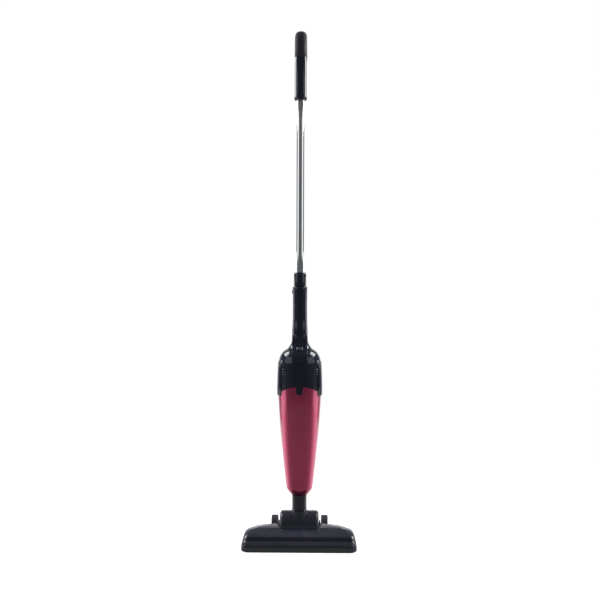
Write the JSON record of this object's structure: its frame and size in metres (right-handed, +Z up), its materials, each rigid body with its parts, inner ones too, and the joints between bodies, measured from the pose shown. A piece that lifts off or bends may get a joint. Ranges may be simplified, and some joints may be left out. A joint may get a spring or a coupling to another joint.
{
  "type": "upright stick vacuum cleaner",
  "caption": "Corded upright stick vacuum: cane handle, chrome wand, motor unit over a tapered red dust cup, and a wide floor head with rear wheels.",
  "frame": {"origin": "on the floor, under the middle of the bounding box", "axes": "+Z up along the wand, -Y towards the front of the floor head, +X to the right as seen from the front"},
  "size_m": [0.2416, 0.2001, 1.1129],
  "materials": {
    "black_gloss": "polished black ABS",
    "nozzle_plastic": "satin dark grey ABS",
    "base_plastic": "matt dark grey polypropylene",
    "red_cup": "candy red metallic lacquer over clear ABS",
    "inner_plastic": "unpainted grey moulding",
    "switch_grey": "satin mid grey",
    "grip_rubber": "soft-touch rubber",
    "seal_rubber": "moulded rubber",
    "tyre_rubber": "matt rubber tread",
    "chrome": "bright chrome plate",
    "steel": "zinc-plated steel",
    "iron": "laminations and carbon",
    "copper": "lacquered copper winding",
    "bristle": "short nylon pile",
    "filter_fabric": "pleated filter paper"
  },
  "bodies": {
    "floor_head": {"base_plate": "base_plastic", "nozzle_cover": "nozzle_plastic", "front_brush_strip": "bristle", "rear_lint_strip": "bristle", "corner_plug_left": "inner_plastic", "corner_plug_right": "inner_plastic", "pivot_pin_left": "inner_plastic", "pivot_pin_right": "inner_plastic", "wheel_axle_left": "steel", "wheel_axle_right": "steel", "base_screw_left": "steel", "base_screw_right": "steel"},
    "wheel_left": {"wheel_hub_left": "inner_plastic", "tyre_left": "tyre_rubber"},
    "wheel_right": {"wheel_hub_right": "inner_plastic", "tyre_right": "tyre_rubber"},
    "neck": {"swivel_barrel": "nozzle_plastic", "neck_pipe": "black_gloss", "pipe_seal": "seal_rubber"},
    "dust_cup": {"cup_shell": "red_cup", "inlet_tube": "inner_plastic", "flap_pin": "steel"},
    "flap": {"inlet_flap": "seal_rubber"},
    "filter": {"filter_frame": "inner_plastic", "filter_pleats": "filter_fabric"},
    "motor_unit": {"front_housing": "black_gloss", "rear_housing": "black_gloss", "side_trim_left": "black_gloss", "side_trim_right": "black_gloss", "motor_plate": "inner_plastic", "cup_seal": "seal_rubber", "motor_gasket": "seal_rubber", "fan_shroud": "inner_plastic", "motor_can": "steel", "stator": "iron", "lower_bearing": "steel", "upper_bearing": "steel", "carbon_brush_left": "iron", "carbon_brush_right": "iron", "switch_module": "inner_plastic", "cord_gland": "seal_rubber", "housing_screw_upper": "steel", "housing_screw_left": "steel", "housing_screw_right": "steel", "latch_pin": "steel", "latch_spring": "steel", "lower_cord_hook": "black_gloss"},
    "rotor": {"rotor_shaft": "steel", "armature": "copper", "impeller": "inner_plastic"},
    "switch": {"power_switch": "switch_grey"},
    "latch": {"cup_latch": "black_gloss"},
    "button": {"wand_release_button": "black_gloss"},
    "wand": {"wand_tube": "chrome", "wand_ferrule": "black_gloss", "handle_body": "black_gloss", "handle_grip": "grip_rubber", "handle_screw": "steel"},
    "hook": {"upper_cord_hook": "black_gloss"}
  },
  "joints": [
    {"name": "wheel_left_spin", "type": "hinge", "parent": "floor_head", "child": "wheel_left", "pos_m": [-0.0543, 0.02195, 0.026], "axis": [1, 0, 0], "continuous": true},
    {"name": "wheel_right_spin", "type": "hinge", "parent": "floor_head", "child": "wheel_right", "pos_m": [0.0543, 0.02195, 0.026], "axis": [1, 0, 0], "continuous": true},
    {"name": "body_tilt", "type": "hinge", "parent": "floor_head", "child": "neck", "pos_m": [0, -0.02805, 0.0435], "axis": [-1, 0, 0], "range_deg": [0, 80]},
    {"name": "unit_lift", "type": "slide", "parent": "neck", "child": "dust_cup", "axis": [0, 0, 1], "range_m": [0, 0.06]},
    {"name": "motor_lift", "type": "slide", "parent": "dust_cup", "child": "motor_unit", "axis": [0, 0, 1], "range_m": [0, 0.1]},
    {"name": "filter_lift", "type": "slide", "parent": "dust_cup", "child": "filter", "axis": [0, 0, 1], "range_m": [0, 0.05]},
    {"name": "flap_swing", "type": "hinge", "parent": "dust_cup", "child": "flap", "pos_m": [0, -0.01855, 0.2075], "axis": [-1, 0, 0], "range_deg": [0, 70]},
    {"name": "wand_pull", "type": "slide", "parent": "motor_unit", "child": "wand", "axis": [0, 0, 1], "range_m": [0, 0.08]},
    {"name": "wand_button_press", "type": "slide", "parent": "motor_unit", "child": "button", "axis": [1, 0, 0], "range_m": [0, 0.0025], "stiffness_N_per_m": 400},
    {"name": "power_switch_slide", "type": "slide", "parent": "motor_unit", "child": "switch", "axis": [0, 0.7373, 0.6756], "range_m": [0, 0.005]},
    {"name": "cup_latch_rock", "type": "hinge", "parent": "motor_unit", "child": "latch", "pos_m": [0, -0.08025, 0.356], "axis": [-1, 0, 0], "range_deg": [0, 5], "stiffness_Nm_per_rad": 0.3},
    {"name": "rotor_spin", "type": "hinge", "parent": "motor_unit", "child": "rotor", "pos_m": [0, -0.03805, 0.38], "axis": [0, 0, 1], "continuous": true},
    {"name": "upper_hook_turn", "type": "hinge", "parent": "wand", "child": "hook", "pos_m": [0, -0.02205, 0.985], "axis": [0, 1, 0], "range_deg": [0, 180]}
  ],
  "couplings": [
    {"joint": "filter_lift", "follows": "motor_lift", "ratio": 0.5}
  ]
}
